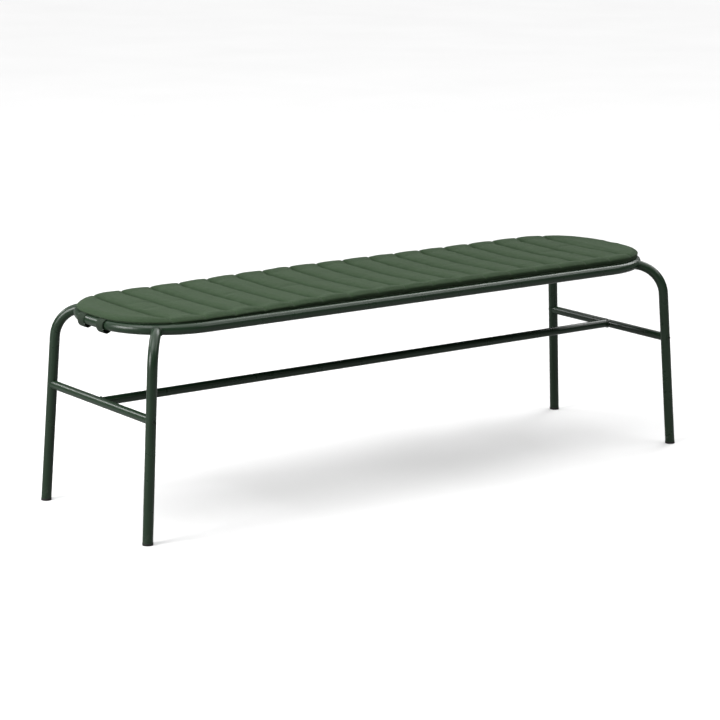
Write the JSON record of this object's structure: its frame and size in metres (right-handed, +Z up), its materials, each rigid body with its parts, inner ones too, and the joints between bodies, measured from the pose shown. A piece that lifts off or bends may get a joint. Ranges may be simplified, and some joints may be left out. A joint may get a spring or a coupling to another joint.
{
  "type": "backless bench",
  "caption": "Long backless bench: bent steel tube frame on splayed legs with stretchers, flat cross slats and a thin channel-quilted cushion held by straps.",
  "frame": {"origin": "on the floor, under the middle of the seat", "axes": "+X along the bench to its right end, +Y from front to back, +Z up"},
  "size_m": [1.4628, 0.4428, 0.4579],
  "materials": {
    "frame_coating": "semi-gloss powder coat",
    "bolt_coating": "semi-gloss powder coat",
    "weld_coating": "powder coat over a weld bead",
    "slat_coating": "semi-gloss powder coat",
    "plug_steel": "zinc plated",
    "glide_plastic": "matte moulded",
    "cushion_fabric": "woven outdoor fabric",
    "underside_fabric": "woven outdoor fabric",
    "padding": "polyester wadding",
    "strap_webbing": "woven webbing",
    "snap_metal": "satin"
  },
  "bodies": {
    "root": {"front_rail": "frame_coating", "back_rail": "frame_coating", "left_end_bow": "frame_coating", "right_end_bow": "frame_coating", "left_back_leg": "frame_coating", "left_front_leg": "frame_coating", "right_back_leg": "frame_coating", "right_front_leg": "frame_coating", "left_end_stretcher": "frame_coating", "right_end_stretcher": "frame_coating", "long_stretcher": "frame_coating", "left_back_glide": "glide_plastic", "left_front_glide": "glide_plastic", "right_back_glide": "glide_plastic", "right_front_glide": "glide_plastic", "stretcher_plugs": "plug_steel", "stretcher_bolts": "bolt_coating", "leg_welds": "weld_coating", "stretcher_welds": "weld_coating", "seat_slat_01": "slat_coating", "seat_slat_02": "slat_coating", "seat_slat_03": "slat_coating", "seat_slat_04": "slat_coating", "seat_slat_05": "slat_coating", "seat_slat_06": "slat_coating", "seat_slat_07": "slat_coating", "seat_slat_08": "slat_coating", "seat_slat_09": "slat_coating", "seat_slat_10": "slat_coating", "seat_slat_11": "slat_coating", "seat_slat_12": "slat_coating", "seat_slat_13": "slat_coating", "seat_slat_14": "slat_coating", "seat_slat_15": "slat_coating", "seat_slat_16": "slat_coating", "seat_slat_17": "slat_coating", "seat_slat_18": "slat_coating", "seat_slat_19": "slat_coating", "cushion_top_cover": "cushion_fabric", "cushion_bottom_cover": "underside_fabric", "cushion_padding": "padding", "left_back_strap": "strap_webbing", "left_front_strap": "strap_webbing", "right_back_strap": "strap_webbing", "right_front_strap": "strap_webbing", "strap_snaps": "snap_metal"}
  },
  "joints": []
}
